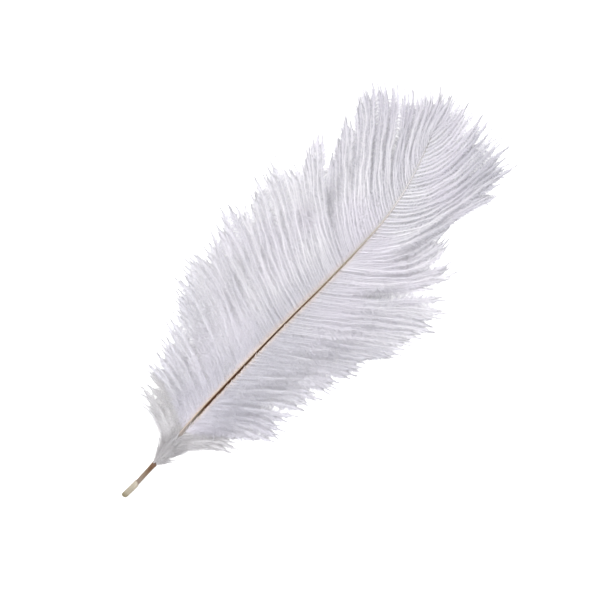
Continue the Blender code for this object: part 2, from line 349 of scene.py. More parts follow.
# painted shade on the barbules, so that the ribs above them read lighter
NEEDLE_SHADE = 0.45
POINT_SHADE = 0.10             # painted shade, more at a needle's point and more where the ribs show, darkening the gaps between ribs
POINT_SHADE_RIBS = (*RIBS_SHOW, 0.0, 0.25)
POINT_SHADE_HIGH = (200.0, 250.0, 0.0, 0.35)
LOCK_TONE, BARB_TONE = 0.3, 0.7            # shares of a barb's own tone
TONE_SHOWS = (*RIBS_SHOW, 0.35, 1.10)      # ease of the contrast between barbs
TONE_SHOWS_HIGH = (200.0, 250.0, 0.0, 0.5)
TONE_NEAR_SHAFT = (*NEAR_SHAFT, 0.5, 1.0)

# Where things lie in the map of a fibre piece: u runs along a barb and v has a row for each.
MAP_START, MAP_LENGTH, MAP_LAST = 0.01, 0.96, 1.01
MAP_RIB = (-0.06, 0.0, 0.06)   # of a row: the rib's three edges
MAP_STEP = 0.004               # of a barb, between a needle's two foot corners and half of it
MAP_NEEDLE_U = (-1, 1, 0, 3)
MAP_NEEDLE_V = (0.05, 0.05, 0.15, 0.42)


def smooth(x, knots, values):
    """Cubic Hermite curve through the knots, with the slopes of central differences: with f the
    share of the way between two knots, the first value times 1 - e and the second times e, where
    e = 3 f^2 - 2 f^3, plus the gap times f (1 - f)^2 first slopes less f^2 (1 - f) second."""
    slopes = np.gradient(values, knots)
    i = np.clip(np.searchsorted(knots, x) - 1, 0, len(knots) - 2)
    width = knots[i + 1] - knots[i]
    f = (x - knots[i]) / width
    e = f * f * (3 - 2 * f)
    rise = f * (1 - f) ** 2 * slopes[i] - f * f * (1 - f) * slopes[i + 1]
    return values[i] * (1 - e) + values[i + 1] * e + rise * width


def ramp(x, start, end):
    """0 before start, 1 after end, and 3 f^2 - 2 f^3 between, with f the share of the way."""
    f = np.clip((x - start) / (end - start), 0, 1)
    return f * f * (3 - 2 * f)


def eased(x, start, end, before, after):
    """The value before the start and the value after the end, with a ramp between them."""
    return before + (after - before) * ramp(x, start, end)


def scatter(shape, spread):
    """Random values spread evenly about zero."""
    return RANDOM.uniform(-spread, spread, shape)


def per_lock(lock, low, high):
    """A random value for each lock, handed to its barbs."""
    return RANDOM.uniform(low, high, lock.max() + 1)[lock]


def shaft_at(s):
    """Across, height and half width of the shaft at the stations s."""
    across = smooth(s, SHAFT_LINE[:, 0], SHAFT_LINE[:, 1])
    height = smooth(s, SHAFT_LINE[:, 0], SHAFT_LINE[:, 2])
    half_width = np.interp(s, SHAFT_LINE[:, 0], SHAFT_LINE[:, 3])
    return across, height, half_width


def from_shaft(points):
    """How far points lie to the left of the shaft's middle."""
    return points[:, 1] - shaft_at(points[:, 0])[0]


def to_frame(points):
    """Millimetres along, across and up, put where the frame has the feather, in metres."""
    corner = np.array([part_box("shaft")[0].x, cad_high.y - LEFT_BARBS[:, 2].max() * MM, 0.0])
    return points * MM + corner


def mesh_piece(name, points, triangles, attributes, uv=None):
    """An object from whole arrays: points in mm, triangles by index, one value per point."""
    mesh = bpy.data.meshes.new(name)
    mesh.vertices.add(len(points))
    mesh.vertices.foreach_set("co", to_frame(points).astype(np.float32).ravel())
    mesh.loops.add(triangles.size)
    mesh.loops.foreach_set("vertex_index", triangles.astype(np.int32).ravel())
    mesh.polygons.add(len(triangles))
    mesh.polygons.foreach_set("loop_start", np.arange(0, triangles.size, 3, dtype=np.int32))
    mesh.update(calc_edges=True)
    for label, values in attributes.items():
        layer = mesh.attributes.new(label, "FLOAT", "POINT")
        layer.data.foreach_set("value", values.astype(np.float32))
    if uv is not None:
        layer = mesh.uv_layers.new(name="OFBake")
        layer.data.foreach_set("uv", uv[triangles.ravel()].astype(np.float32).ravel())
    piece = bpy.data.objects.new(name, mesh)
    bpy.context.scene.collection.objects.link(piece)
    return piece


def hand_over(piece, finish, slot, *nodes):
    """Gives a piece its material, attaches it to the root body and hides the solids it stands for."""
    piece.data.materials.append(finish)
    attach(piece, "root")
    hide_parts(*nodes)


# ---- barbs ----

def bezier(root, bend_a, bend_b, tip, u):
    """Cubic Bezier curves, one per row, at the shares u of the way along: (1 - u)^3 root
    + 3 u (1 - u)^2 bend a + 3 u^2 (1 - u) bend b + u^3 tip."""
    u = u[None, :, None]
    a, b, c, d = (p[:, None, :] for p in (root, bend_a, bend_b, tip))
    return (1 - u) ** 3 * a + 3 * u * (1 - u) ** 2 * b + 3 * u * u * (1 - u) * c + u ** 3 * d


def spread_roots(guides, count):
    """Stations of the barbs' roots: even steps of a measure that counts more per mm of shaft
    where the guides' tips fan out, and little where they leap and so leave a gap."""
    apart = np.diff(guides[:, 0])
    fanned = np.hypot(np.diff(guides[:, 1]), np.diff(guides[:, 2]))
    apart *= np.where(fanned > LEAP * apart, LEAP_SHARE, 1 + FAN_CLOSER * fanned / apart)
    reach = np.concatenate([[0.0], np.cumsum(apart)])
    s = np.interp(np.linspace(0, reach[-1], count), reach, guides[:, 0])
    return np.sort(np.clip(s + scatter(count, ROOT_WANDER), guides[0, 0], guides[-1, 0]))


def guide_at(guides, s):
    """Tip and headings between the guides, for barbs with their roots at the stations s."""
    return np.stack([np.interp(s, guides[:, 0], guides[:, k]) for k in range(1, 5)], axis=1)


def draw_into_locks(count):
    """For each barb the number of its lock; locks hold a few neighbours each."""
    sizes = RANDOM.choice(LOCK_SIZES, count)
    return np.repeat(np.arange(count), sizes)[:count]


def shortened(count, mean, spread, least, most):
    """Shares of the length to take off: normal values, held between the least and the most."""
    return np.clip(RANDOM.normal(mean, spread, count), least, most)


def vane_barbs(guides, side, count):
    """Paths of a vane's barbs. Each leaves the shaft and sweeps to its tip as the guides say;
    the tips of a lock are drawn towards the lock's own tip, and lengths vary within it."""
    s = spread_roots(guides, count)
    lock = draw_into_locks(count)
    centre = np.bincount(lock, s) / np.bincount(lock)
    locks = len(centre)
    across, height, half_width = shaft_at(s)
    guide = guide_at(guides, s)
    shared = guide_at(guides, centre)
    tip = guide[:, :2] + LOCK_DRAW * (shared[lock, :2] - guide[:, :2])
    tip += scatter((locks, 2), TIP_WANDER[0])[lock] + scatter((count, 2), TIP_WANDER[1])
    root = np.stack([s, across + side * half_width * ROOT_OUT], axis=1)
    shorter = shortened(locks, *LOCK_SHORTER)[lock] + shortened(count, *BARB_SHORTER)
    tip = root + (tip - root) * (1 - shorter)[:, None]
    leave = side * np.radians(guide[:, 2] + scatter(count, LEAVE_WANDER))
    wander = scatter(locks, ARRIVE_WANDER[0])[lock] + scatter(count, ARRIVE_WANDER[1])
    arrive = side * np.radians(guide[:, 3] + wander * eased(s, *CALMER))
    return finish_barbs(root, tip, leave, arrive, height + ROOT_UP * half_width, lock)


def finish_barbs(root, tip, leave, arrive, height, lock):
    """Barb paths from their ends and headings in plan. In plan a Bezier curve with a slow wave to
    its sides. In height, with w the share of the way to where the barb lies flat: root height
    times 1 - w^2, plus the bow's rise times sin(pi w) (1 - w), plus the lying height times w;
    to that a lift times sin(pi u) and a tip lift times u^5 are added, and a droop taken off."""
    count = len(root)
    length = np.linalg.norm(tip - root, axis=1)
    pull = BARB_PULL * length[:, None]
    bend_a = root + pull * np.stack([np.cos(leave), np.sin(leave)], axis=1)
    bend_b = tip - pull * np.stack([np.cos(arrive), np.sin(arrive)], axis=1)
    u = np.linspace(0, 1, BARB_STATIONS)
    plan = bezier(root, bend_a, bend_b, tip, u)
    heading = np.gradient(plan, axis=1)
    heading /= np.linalg.norm(heading, axis=2, keepdims=True)
    normal = np.stack([-heading[:, :, 1], heading[:, :, 0]], axis=2)
    phase = per_lock(lock, 0, 2 * math.pi) + scatter(count, WAVE_WANDER)
    cycles = length / RANDOM.uniform(*WAVE_LENGTH, count)
    wave = np.sin(phase[:, None] + 2 * math.pi * cycles[:, None] * u) * ramp(u, 0.0, WAVE_START)
    plan = plan + normal * (wave * WAVE_SIZE)[:, :, None]
    w = np.clip(u / LIE_FLAT, 0, 1)[None, :]
    rise = np.clip(length / ARCH_FULL_LENGTH, 0, 1) * eased(root[:, 0], *ARCH_LOWER)
    rise = ARCH_RISE * rise[:, None]
    lift = per_lock(lock, 0.0, LOCK_LIFT) + scatter(count, BARB_LIFT)
    lift *= eased(root[:, 0], *LIFT_SHOWS)
    tip_lift = per_lock(lock, 0.0, TIP_LIFT)
    z = height[:, None] * (1 - w * w) + rise * np.sin(math.pi * w) * (1 - w) + LIE_HEIGHT * w
    z += lift[:, None] * np.sin(math.pi * u) + tip_lift[:, None] * u ** 5
    z = np.maximum(z - OUTER_DROOP * ramp(u, *OUTER_PART), LOWEST_BARB)
    return {"path": np.dstack([plan, z]), "length": length, "lock": lock}


def fluff_barbs(count):
    """The fluff over the shaft above the quill: short barbs that rise over it and fan out. The
    height is the shaft's top less a share of it times u, plus a bow times sin(pi sqrt(u))."""
    share = (np.arange(count) + RANDOM.random(count)) / count
    s = FLUFF_START + FLUFF_REACH * share
    side = np.where(np.arange(count) % 2 == 0, 1.0, -1.0)
    across, height, half_width = shaft_at(s)
    out = side * half_width * RANDOM.uniform(0.0, FLUFF_ROOT_OUT, count)
    root = np.stack([s, across + out], axis=1)
    turn = np.radians(RANDOM.uniform(*FLUFF_TURN, count)) * side
    length = RANDOM.uniform(*FLUFF_LENGTH, count) * (1 - FLUFF_SHORTER * share)
    tip = root + length[:, None] * np.stack([np.cos(turn), np.sin(turn)], axis=1)
    leave, arrive = (turn * part for part in FLUFF_HEADING)
    barbs = finish_barbs(root, tip, leave, arrive, height, np.arange(count))
    u = np.linspace(0, 1, BARB_STATIONS)[None, :]
    top = (height + half_width * SHAFT_DEPTH)[:, None]
    over = RANDOM.uniform(*FLUFF_OVER, count)[:, None]
    fall = top * (1 - FLUFF_FALL * u)
    barbs["path"][:, :, 2] = fall + over * np.sin(math.pi * np.sqrt(u)) + FLUFF_CLEAR
    return barbs


def part_of(barbs, chosen):
    """The chosen barbs of a set."""
    lock = np.unique(barbs["lock"][chosen], return_inverse=True)[1]
    return {"path": barbs["path"][chosen], "length": barbs["length"][chosen], "lock": lock}


def barb_frames(path):
    """Unit vectors along each barb, to its left in plan, and across both, at every station."""
    along = np.gradient(path, axis=1)
    along /= np.linalg.norm(along, axis=2, keepdims=True)
    left = np.stack([-along[:, :, 1], along[:, :, 0], np.zeros(along.shape[:2])], axis=2)
    left /= np.linalg.norm(left, axis=2, keepdims=True)
    return along, left, np.cross(along, left)


def ribs(barbs, rows, thick):
    """The barbs' own ribs: a triangle, one corner up, carried along each path, whose radius falls
    in proportion to the distance from the root; closed at both ends. Returns points, faces, and
    for each point its place along the barb, its row, shade, tone, how free and how near the root."""
    path = barbs["path"]
    count, stations = path.shape[:2]
    shape = (count, stations, 3)
    _, left, up = barb_frames(path)
    u = np.linspace(0, 1, stations)
    radius = (thick * (1 - RIB_TAPER * u))[None, :, None, None]
    turn = 2 * math.pi * np.arange(3) / 3 + math.pi / 2
    ring = (left[:, :, None] * np.cos(turn)[None, None, :, None]
            + up[:, :, None] * np.sin(turn)[None, None, :, None])
    raised = RIB_LIFT * ramp(path[:, :, None, :1], *RIBS_SHOW) * np.array([0.0, 0.0, 1.0])
    points = (path[:, :, None] + radius * ring + raised).reshape(-1, 3)
    number = np.arange(count * stations * 3).reshape(shape)
    a, b = number[:, :-1], number[:, 1:]
    a_next, b_next = np.roll(a, -1, axis=2), np.roll(b, -1, axis=2)
    sides = np.stack([a, a_next, b_next, a, b_next, b], axis=-1).reshape(-1, 3)
    ends = np.concatenate([number[:, 0, ::-1], number[:, -1]])
    along = np.broadcast_to(u[None, :, None], shape).ravel()
    row = (rows[:, None, None] + np.broadcast_to(MAP_RIB, shape)).ravel()
    free = 1 - ramp((1 - u)[None, :] * barbs["length"][:, None], *DUSKY_TIP)
    free = np.repeat(free.ravel(), 3)
    # painted highlight on ribs that stand clear away from the shaft; painted shade on ribs in the
    # fluff and at their tips
    rib_highlight = ramp(points[:, 0], *RIBS_SHOW) * eased(np.abs(from_shaft(points)), *RIB_HIGHLIGHT_EASE)
    shade = FLUFFY_RIB_SHADE * (1 - rib_highlight) + RIB_TIP_SHADE * free
    root = 1 - ramp(u * barbs["length"][:, None], *HORNY_ROOT)
    root = np.repeat(root.ravel(), 3)
    return points, np.concatenate([sides, ends]), along, row, shade, 0 * free, free, root


def place_barbules(length, per_mm):
    """Which barb each barbule is on, its number there and its share u of the way along. The
    places are even with a random part of a step each, and twice as close over the crowded tip."""
    room = length + CROWDED_TIP
    numbers = np.maximum(np.round(room * per_mm), FEWEST).astype(int)
    barb = np.repeat(np.arange(len(length)), numbers)
    order = np.arange(len(barb)) - np.repeat(np.cumsum(numbers) - numbers, numbers)
    place = (order + RANDOM.random(len(barb))) / numbers[barb] * room[barb]
    place -= np.maximum(place - (length[barb] - CROWDED_TIP), 0) / 2
    return barb, order, np.clip(place / length[barb], 0, 1)


def barbules(barbs, rows, depth, per_mm, longest, wide, angle, tip_angle, vary, tilt_up,
             tilt_vary, kept):
    """Needles on both sides of each barb: closed spikes of four faces, each a three-cornered foot
    on the barb and a point at foot + length times aim. Aim is the barb's direction turned out by
    an angle that narrows towards the barb's tip, and tilted. Neighbours in a tuft share part of
    their turn, tilt, size and tone. Returns the same as ribs."""
    path, length = barbs["path"], barbs["length"]
    last_cell = path.shape[1] - 2
    barb, order, u = place_barbules(length, per_mm)
    count = len(u)
    side = np.where(order % 2 == 0, 1.0, -1.0)
    cell = np.minimum((u * (last_cell + 1)).astype(int), last_cell)
    f = (u * (last_cell + 1) - cell)[:, None]
    along, left, up = (v[barb, cell] * (1 - f) + v[barb, cell + 1] * f for v in barb_frames(path))
    base = path[barb, cell] * (1 - f) + path[barb, cell + 1] * f
    root_s = path[barb, 0, 0]
    from_tip = (1 - u) * length[barb]
    full = ramp(from_tip * eased(root_s, *FREER), *FREE_TIP)
    tuft = (u * length[barb] / TUFT_LENGTH + barb * TUFT_SHIFT).astype(int)
    tuft = (barb * TUFTS_PER_BARB + tuft * 2 + (order % 2)) % TUFT_VALUES
    own_turn, own_tilt, own_tone, own_size = RANDOM.uniform(-1, 1, (4, TUFT_VALUES))[:, tuft]
    size = longest * (kept + (1 - kept) * full) * np.interp(u, *FOOT_SIZE)
    size *= eased(root_s, *HIGH_SIZE) * eased(root_s, *LOW_SIZE) * eased(from_tip, *TIP_SIZE)
    size *= MEAN_SIZE + SHARED_SIZE * own_size + scatter(count, OWN_SIZE)
    turn = SHARED_TURN * own_turn + OWN_TURN * RANDOM.uniform(-1, 1, count)
    turn = turn * vary * (TIP_VARY + (1 - TIP_VARY) * full)
    turn += tip_angle + (angle - tip_angle) * full
    tilt = tilt_vary * (SHARED_TILT * own_tilt + OWN_TILT * RANDOM.normal(0, 1, count))
    tilt += tilt_up + FLUFFY_TILT * (1 - ramp(base[:, 0], *RIBS_SHOW))
    turn, tilt = np.radians(turn), np.radians(tilt)
    out = left * (side * np.cos(tilt))[:, None] + up * np.sin(tilt)[:, None]
    aim = along * np.cos(turn)[:, None] + out * np.sin(turn)[:, None]
    aim /= np.linalg.norm(aim, axis=1, keepdims=True)
    flat = np.cross(up, aim)
    flat /= np.linalg.norm(flat, axis=1, keepdims=True)
    deep = np.cross(aim, flat)
    half = (wide / 2 * RANDOM.uniform(*NEEDLE_WIDTHS, count))[:, None]
    corners = np.stack([base - flat * half, base + flat * half, base + deep * half * NEEDLE_DEPTH,
                        base + aim * size[:, None]], axis=1)
    corners[:, :, 2] = np.maximum(corners[:, :, 2], LOWEST_NEEDLE)
    number = np.arange(count * 4).reshape(-1, 4)
    faces = number[:, [0, 1, 3, 1, 2, 3, 2, 0, 3, 2, 1, 0]].reshape(-1, 3)
    u_of = u[:, None] + MAP_STEP * np.array(MAP_NEEDLE_U)
    row = rows[barb][:, None] + side[:, None] * np.array(MAP_NEEDLE_V)
    # painted shade, deeper at each needle's point, darkens the gaps between the ribs
    point_shade = eased(base[:, 0], *POINT_SHADE_RIBS) + eased(base[:, 0], *POINT_SHADE_HIGH)
    shade = np.full((count, 4), depth + NEEDLE_SHADE)
    shade[:, 3] += POINT_SHADE + point_shade
    tone = np.repeat(own_tone * SHARED_TONE + scatter(count, OWN_TONE), 4)
    free = np.repeat(1 - ramp(from_tip, *DUSKY_TIP), 4)
    root = np.repeat(1 - ramp(u * length[barb], *HORNY_ROOT), 4)
    return corners.reshape(-1, 3), faces, u_of.ravel(), row.ravel(), shade.ravel(), tone, free, root


def painted_shade_at(points):
    """The painted shade table at points on the feather, ramped from the shaft to either edge."""
    left, middle, right = (np.interp(points[:, 0], PAINTED_SHADE_TABLE[:, 0], PAINTED_SHADE_TABLE[:, k]) for k in (1, 2, 3))
    out = from_shaft(points) / eased(points[:, 0], *PAINTED_SHADE_NARROW)
    to_left = (left - middle) * ramp(out, *PAINTED_SHADE_LEFT)
    to_right = (right - middle) * ramp(-out, *PAINTED_SHADE_RIGHT)
    return middle + to_left + to_right


def fibre_piece(name, groups, finish, slot, node):
    """One piece from several sets of barbs, each with (barbs, thickness, fine and under sets)."""
    made, tones, first_row, first_point = [], [], 0, 0
    for barbs, thick, fine, under in groups:
        rows = first_row + 0.5 + np.arange(len(barbs["length"]))
        # the under barbules get painted shade, as they lie beneath the rest
        made.append(barbules(barbs, rows, UNDER_SHADE, **under))
        made.append(ribs(barbs, rows, thick))
        made.append(barbules(barbs, rows, 0.0, **fine))
        lock_tone = per_lock(barbs["lock"], 0, 1)
        tones.append(LOCK_TONE * lock_tone + BARB_TONE * RANDOM.random(len(rows)))
        first_row += len(rows)
    triangles = []
    for points, faces, *_ in made:
        triangles.append(faces + first_point)
        first_point += len(points)
    points, along, row, shade, tone, free, root = (
        np.concatenate([m[k] for m in made]) for k in (0, 2, 3, 4, 5, 6, 7))
    s = points[:, 0]
    root = root * ramp(s, *HORNY_FROM) * (1 - ramp(s, *HORNY_UNTIL))
    tone = tone + np.concatenate(tones)[np.clip(row.astype(int), 0, first_row - 1)]
    contrast = eased(s, *TONE_SHOWS) + eased(s, *TONE_SHOWS_HIGH)
    contrast *= eased(np.abs(from_shaft(points)), *TONE_NEAR_SHAFT)
    tone = 0.5 + (tone - 0.5) * contrast
    # painted shade from the table, added to each point's shade
    shade = shade + painted_shade_at(points)
    uv = np.stack([MAP_START + MAP_LENGTH * np.clip(along, 0, MAP_LAST), row / first_row], axis=1)
    piece = mesh_piece(name, points, np.concatenate(triangles),
                       {"tone": tone, "shade": shade, "free": free, "root": root}, uv)
    hand_over(piece, finish, slot, node)


# ---- shaft ----

def waves(terms, turn):
    """The sum of size times sin(number times the turn + its own start), over the terms."""
    return sum(size * np.sin(number * turn + start) for size, number, start in terms)


def shaft_surface():
    """The quill and rachis: rings of a round section carried along the shaft's line. The end is
    rounded with a pit in it. Inside a ragged edge the sheath's radius takes the place of the
    quill's. The groove is the section's upper half less its depth times exp(-(x / width)^4),
    with x across the shaft from the groove's middle."""
    rings = [QUILL_END[:, 0]] + [np.linspace(*part) for part in QUILL_RINGS]
    left_over = SHAFT_RINGS - sum(len(ring) for ring in rings)
    s = np.concatenate([*rings, np.linspace(RACHIS_START, SHAFT_LINE[-1, 0], left_over)])
    part = np.ones(len(s))
    part[:len(QUILL_END)] = QUILL_END[:, 1]
    across, height, half_width = shaft_at(s)
    turn = 2 * math.pi * np.arange(SHAFT_SIDES) / SHAFT_SIDES
    edge = SHEATH_EDGE - LIP_BACK + waves(LIP_RAGGED, turn)
    sheath = 1 - ramp(s[:, None], edge - LIP_HALF, edge + LIP_HALF)
    inner = np.where(s < SHEATH_EDGE, QUILL_RADIUS, half_width)[:, None]
    radius = inner + (SHEATH_RADIUS - inner) * sheath
    flakes = FLAKES * math.prod(np.sin(a * turn + b * s[:, None]) for a, b in FLAKE_WAVES)
    radius = (radius + flakes * sheath) * part[:, None]
    radius = radius * (1 + waves(RIDGES, turn) * ramp(s, *RIDGES_START)[:, None])
    opening = (ramp(s, *GROOVE_REACH[:2]) * (1 - ramp(s, *GROOVE_REACH[2:])))[:, None]
    side = np.cos(turn)[None, :]
    width = eased(s, *GROOVE_WIDTH)[:, None]
    cut = np.exp(-((side - GROOVE_MIDDLE) / width) ** 4) * (np.sin(turn) > 0)
    depth = eased(s, SHEATH_EDGE, GROOVE_REACH[1], 1.0, SHAFT_DEPTH)[:, None]
    t = across[:, None] + radius * side
    z = height[:, None] + radius * (depth * np.sin(turn) - GROOVE_DEPTH * opening * cut)
    points = np.dstack([np.broadcast_to(s[:, None], t.shape), t, z])
    number = np.arange(t.size).reshape(t.shape)
    a, b = number[:-1], number[1:]
    a_next, b_next = np.roll(a, -1, axis=1), np.roll(b, -1, axis=1)
    skin = np.stack([a, b, b_next, a, b_next, a_next], axis=-1).reshape(-1, 3)
    start, end = (np.stack([np.full(SHAFT_SIDES - 2, ring[0]), ring[1:-1], ring[2:]], axis=1)
                  for ring in (number[0], number[-1]))
    along = np.broadcast_to(s[:, None] / SHAFT_LINE[-1, 0], t.shape)
    groove = np.broadcast_to(cut * ramp(s, *GROOVE_COLOUR_START)[:, None], t.shape)
    values = {"along": along.ravel(), "groove": groove.ravel(), "sheath": sheath.ravel()}
    return points.reshape(-1, 3), np.concatenate([skin, start, end[:, ::-1]]), values


# ---- materials ----

# Fibre finishes: the dark and the light end of the tone, which carries the painted shade, the
# lavender of its patches of painted shade, the tips' colour, the fineness of its clouds of painted
# shade and the share of light that passes through.
BARB_WHITE = {
    "shade": (0.66, 0.65, 0.71),
    "light": (0.99, 0.98, 1.0),
    "patch_shade": (0.86, 0.83, 0.90),
    "tip": (0.62, 0.61, 0.65),
    "cloud_size": 45.0,
    "through": 0.35,
}
DOWN_WHITE = {
    "shade": (0.565, 0.55, 0.565),
    "light": (0.965, 0.955, 0.98),
    "patch_shade": (0.80, 0.785, 0.81),
    "tip": (0.64, 0.63, 0.66),
    "cloud_size": 70.0,
    "through": 0.4,
}
FOOT_COLOUR = (0.95, 0.83, 0.77, 1.0)
FOOT_STRENGTH = 0.55
# strength of the clouds of painted shade
CLOUD_STRENGTH = 0.6
SHADE_STRENGTH = -1.6
TONE_RANGE = (-1.6, 1.2)       # sums of tone, clouds and shade that give the two ends
# lavender patches of painted shade: size, range and strength
PATCH_SIZE = 26.0
PATCH_RANGE = (0.45, 0.7)
PATCH_STRENGTH = 0.5

# The shaft's colours: place along it, colour. Its edges, which carry some painted highlight, the
# groove, darkened in part by painted shade in its hollow, and the quill's sheath.
EDGE_COLOURS = [
    (0.04, (0.155, 0.122, 0.10)),
    (0.07, (0.15, 0.115, 0.085)),
    (0.095, (0.09, 0.045, 0.025)),
    (0.12, (0.25, 0.18, 0.14)),
    (0.175, (0.36, 0.31, 0.28)),
    (0.23, (0.53, 0.42, 0.34)),
    (0.40, (0.52, 0.43, 0.37)),
    (0.68, (0.46, 0.42, 0.37)),
    (0.80, (0.42, 0.40, 0.385)),
    (0.92, (0.47, 0.46, 0.47)),
]
GROOVE_COLOURS = [
    (0.08, (0.08, 0.04, 0.02)),
    (0.15, (0.22, 0.195, 0.18)),
    (0.20, (0.14, 0.12, 0.11)),
    (0.232, (0.06, 0.045, 0.035)),
    (0.25, (0.030, 0.007, 0.0005)),
    (0.34, (0.028, 0.008, 0.001)),
    (0.46, (0.03, 0.013, 0.006)),
    (0.56, (0.06, 0.03, 0.014)),
    (0.66, (0.14, 0.112, 0.083)),
    (0.74, (0.22, 0.20, 0.185)),
    (0.84, (0.40, 0.38, 0.38)),
]
SHEATH_COLOURS = [
    (0.0, (0.13, 0.112, 0.07)),
    (0.005, (0.15, 0.13, 0.085)),
    (0.011, (0.22, 0.195, 0.15)),
    (0.03, (0.26, 0.235, 0.19)),
    (0.042, (0.32, 0.285, 0.235)),
]
TABLE_COLOURS = [(0.3, (0.94, 0.94, 0.945)), (0.7, (0.96, 0.96, 0.96))]
STREAK_SIZE = 2600.0
STREAK_STRETCH = (0.12, 1.0, 1.0)


def new_material(name):
    """An empty material with an output and a Principled shader."""
    made = bpy.data.materials.new(name)
    made.use_nodes = True
    tree = made.node_tree
    return made, tree, tree.nodes["Principled BSDF"], tree.nodes["Material Output"]


def add(tree, kind, inputs=None, **settings):
    """A node with its settings, and its input values or links by name or number."""
    node = tree.nodes.new(kind)
    for key, value in settings.items():
        setattr(node, key, value)
    for key, value in (inputs or {}).items():
        socket = node.inputs[key]
        if isinstance(value, bpy.types.NodeSocket):
            tree.links.new(value, socket)
        else:
            socket.default_value = value
    return node


def attribute(tree, name):
    """The value of a mesh's own attribute."""
    return add(tree, "ShaderNodeAttribute", attribute_name=name).outputs["Fac"]


def mix(tree, factor, a, b):
    """Colour a where the factor is 0, colour b where it is 1."""
    node = add(tree, "ShaderNodeMix", {"Factor": factor, "A": a, "B": b}, data_type="RGBA")
    return node.outputs["Result"]


def remap(tree, value, low, high, to_low, to_high):
    """A value's range from low to high laid over another, and held inside it."""
    node = add(tree, "ShaderNodeMapRange", {"Value": value, "From Min": low, "From Max": high,
                                            "To Min": to_low, "To Max": to_high})
    return node.outputs["Result"]


def colour_ramp(tree, factor, stops):
    """A colour ramp through (place, colour) stops."""
    node = add(tree, "ShaderNodeValToRGB", {"Fac": factor})
    elements = node.color_ramp.elements
    while len(elements) < len(stops):
        elements.new(0.5)
    for element, (place, colour) in zip(elements, stops):
        element.position = place
        element.color = (*colour, 1.0)
    return node.outputs["Color"]


def plume_tone_group():
    """Fibre colour: each barb's own tone, the painted shade of the shade attribute, soft clouds and
    lavender patches of painted shade over the feather, greyer tips and warm feet by the shaft."""
    group = bpy.data.node_groups.new("plume tone", "ShaderNodeTree")
    for label in ("Shade", "Light", "Tint", "Tip"):
        group.interface.new_socket(name=label, in_out="INPUT", socket_type="NodeSocketColor")
    group.interface.new_socket(name="Cloud Size", in_out="INPUT", socket_type="NodeSocketFloat")
    group.interface.new_socket(name="Color", in_out="OUTPUT", socket_type="NodeSocketColor")
    given = add(group, "NodeGroupInput").outputs
    place = add(group, "ShaderNodeTexCoord").outputs["Object"]
    # soft clouds of painted shade, lighter and darker
    cloud = add(group, "ShaderNodeTexNoise", {"Vector": place, "Scale": given["Cloud Size"],
                                              "Detail": 3.0})
    clouded = add(group, "ShaderNodeMath", {0: cloud.outputs["Fac"], 1: CLOUD_STRENGTH,
                                            2: attribute(group, "tone")}, operation="MULTIPLY_ADD")
    dusky = add(group, "ShaderNodeMath", {0: attribute(group, "shade"), 1: SHADE_STRENGTH,
                                          2: clouded.outputs[0]}, operation="MULTIPLY_ADD")
    lightness = remap(group, dusky.outputs[0], *TONE_RANGE, 0.0, 1.0)
    # lavender patches of painted shade
    patch = add(group, "ShaderNodeTexNoise", {"Vector": place, "Scale": PATCH_SIZE, "Detail": 1.0})
    patchy = remap(group, patch.outputs["Fac"], *PATCH_RANGE, 0.0, PATCH_STRENGTH)
    foot = add(group, "ShaderNodeMath", {0: attribute(group, "root"), 1: FOOT_STRENGTH},
               operation="MULTIPLY")
    colour = mix(group, lightness, given["Shade"], given["Light"])
    colour = mix(group, patchy, colour, given["Tint"])
    colour = mix(group, attribute(group, "free"), colour, given["Tip"])
    colour = mix(group, foot.outputs[0], colour, FOOT_COLOUR)
    add(group, "NodeGroupOutput", {"Color": colour})
    return group


def fibre_material(name, group, shade, light, patch_shade, tip, cloud_size, through):
    """Soft fibre: a rough surface with a little sheen that also lets light through."""
    made, tree, shader, out = new_material(name)
    tone = add(tree, "ShaderNodeGroup", node_tree=group)
    for label, value in (("Shade", shade), ("Light", light), ("Tint", patch_shade), ("Tip", tip)):
        tone.inputs[label].default_value = (*value, 1.0)
    tone.inputs["Cloud Size"].default_value = cloud_size
    colour = tone.outputs["Color"]
    tree.links.new(colour, shader.inputs["Base Color"])
    shader.inputs["Roughness"].default_value = 0.75
    shader.inputs["Specular IOR Level"].default_value = 0.35
    shader.inputs["Sheen Weight"].default_value = 0.15
    shader.inputs["Sheen Roughness"].default_value = 0.5
    soft = add(tree, "ShaderNodeBsdfTranslucent", {"Color": colour})
    both = add(tree, "ShaderNodeMixShader", {0: through, 1: shader.outputs[0], 2: soft.outputs[0]})
    tree.links.new(both.outputs[0], out.inputs["Surface"])
    return made


